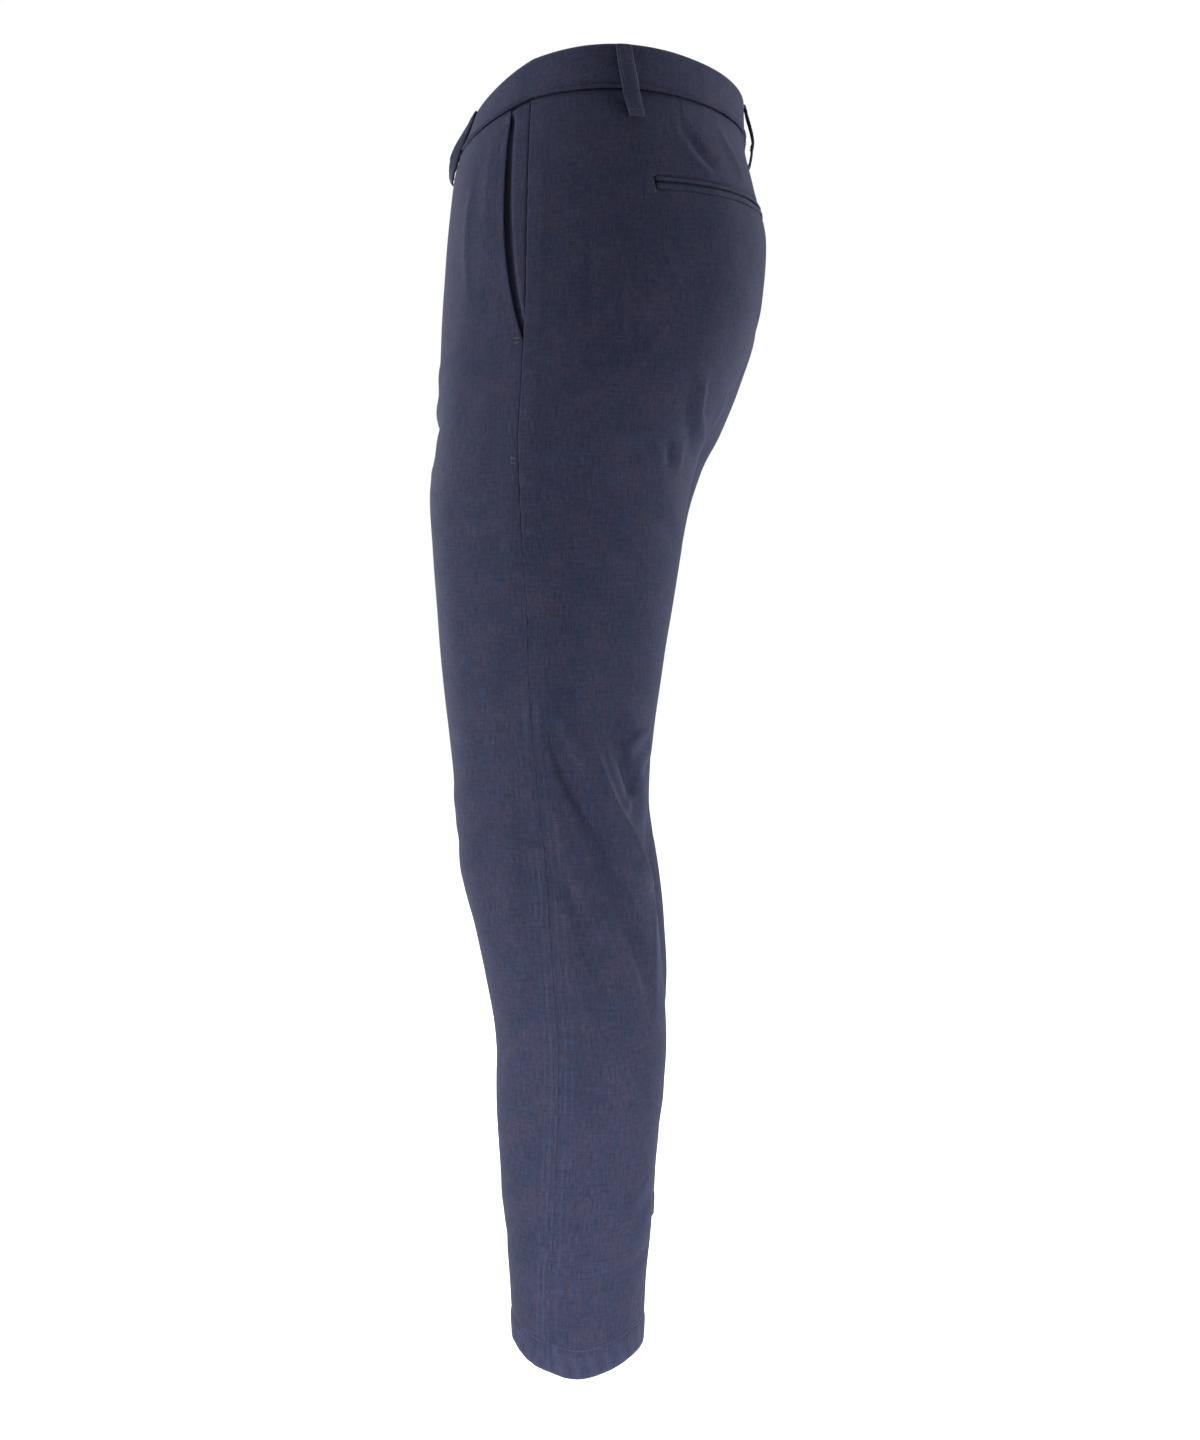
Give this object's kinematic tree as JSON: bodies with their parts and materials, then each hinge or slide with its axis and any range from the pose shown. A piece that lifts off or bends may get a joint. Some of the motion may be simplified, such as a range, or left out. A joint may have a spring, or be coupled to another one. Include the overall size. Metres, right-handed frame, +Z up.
{
  "type": "slim chino trousers",
  "caption": "Slim ankle-length cotton trousers filled out as worn, open at waist and hems, with a curved waistband, belt loops, slanted front pockets and welted back pockets.",
  "frame": {"origin": "middle of the waist opening, midway between the sides and level with the waistband's top edge at the sides", "axes": "+Z up the body from the hems to the waist, -Y out of the front, +X to the wearer's left"},
  "size_m": [0.3574, 0.2726, 1.0145],
  "materials": {
    "navy_cotton": "matte, softly brushed cotton twill with a faint sheen",
    "navy_button": "semi-matte polyester resin"
  },
  "bodies": {
    "root": {"left_front": "navy_cotton", "right_front": "navy_cotton", "left_back": "navy_cotton", "right_back": "navy_cotton", "left_pocket_facing": "navy_cotton", "right_pocket_facing": "navy_cotton", "left_back_welt_upper": "navy_cotton", "left_back_welt_lower": "navy_cotton", "right_back_welt_upper": "navy_cotton", "right_back_welt_lower": "navy_cotton", "waistband_left": "navy_cotton", "waistband_right": "navy_cotton", "fly_underlap": "navy_cotton", "belt_loop_left_front": "navy_cotton", "belt_loop_right_front": "navy_cotton", "belt_loop_left_side": "navy_cotton", "belt_loop_right_side": "navy_cotton", "belt_loop_centre_back": "navy_cotton", "waist_button": "navy_button"}
  },
  "joints": []
}
